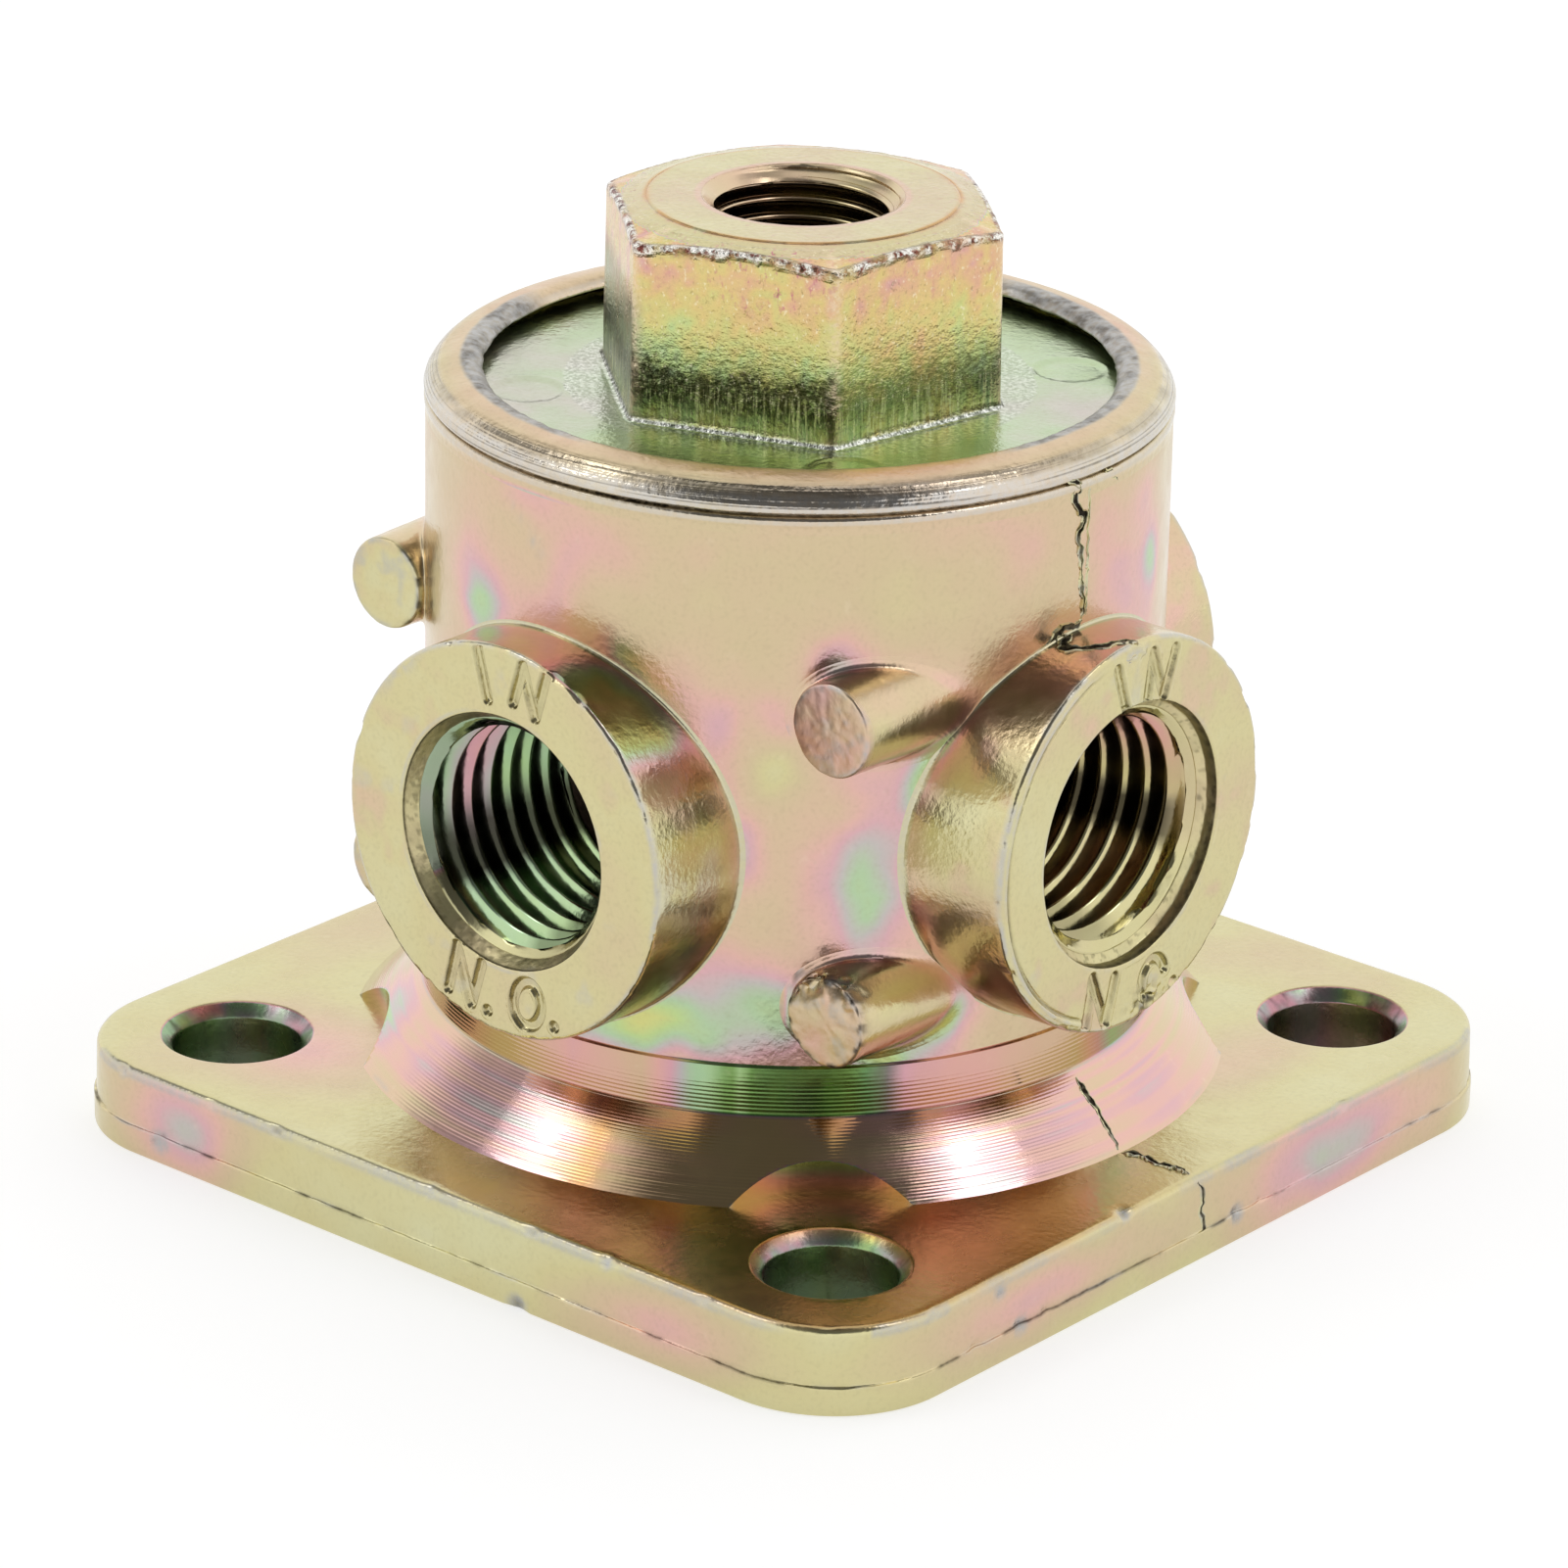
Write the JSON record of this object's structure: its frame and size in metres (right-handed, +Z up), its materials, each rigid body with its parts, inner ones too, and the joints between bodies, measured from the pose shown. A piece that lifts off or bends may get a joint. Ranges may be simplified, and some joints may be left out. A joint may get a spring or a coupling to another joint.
{
  "type": "three-way air valve",
  "caption": "Air-piloted poppet valve: die-cast body with a square mounting flange, threaded side ports, and a hexagonal pilot cap held by a rolled lip.",
  "frame": {"origin": "bottom centre of the square mounting flange, on the mounting face", "axes": "+Z up along the barrel, towards the pilot port in the hexagon; -Y out of the normally open port; +X out of the normally closed port; +Y out of the outlet port"},
  "size_m": [0.0558, 0.0558, 0.0507],
  "materials": {
    "cast_body": "zinc die casting with a yellow, iridescent chromate film; rough where cast, fine rings where turned",
    "cast_cap": "zinc die casting with a darker yellow-green chromate film and fine vertical marks on the hexagon",
    "nitrile_rubber": "smooth black",
    "turned_brass": "fine turned",
    "acetal": "satin, off-white",
    "turned_aluminium": "fine turned",
    "stainless": "ground",
    "spring_steel": "drawn and oiled"
  },
  "bodies": {
    "housing": {"valve_body": "cast_body", "pilot_cap": "cast_cap", "cap_o_ring": "nitrile_rubber", "lower_seat": "turned_brass", "lower_seat_o_ring": "nitrile_rubber", "upper_seat": "turned_brass", "upper_seat_o_ring": "nitrile_rubber", "outlet_cage": "acetal", "inlet_spacer": "acetal", "guide_bushing": "turned_brass", "bushing_o_ring": "nitrile_rubber", "stem_o_ring": "nitrile_rubber", "stack_circlip": "spring_steel", "return_spring": "spring_steel"},
    "shuttle": {"stem": "stainless", "piston": "turned_aluminium", "piston_o_ring": "nitrile_rubber", "piston_washer": "stainless", "piston_nut": "stainless", "poppet_core": "turned_brass", "lower_poppet_seal": "nitrile_rubber", "upper_poppet_seal": "nitrile_rubber", "poppet_nut": "stainless", "spring_retainer": "stainless", "retainer_clip": "spring_steel"}
  },
  "joints": [
    {"name": "shuttle_slide", "type": "slide", "parent": "housing", "child": "shuttle", "axis": [0, 0, 1], "range_m": [-0.0022, 0], "stiffness_N_per_m": 3600, "springref_m": 0.0035, "deforming": ["return_spring"]}
  ]
}
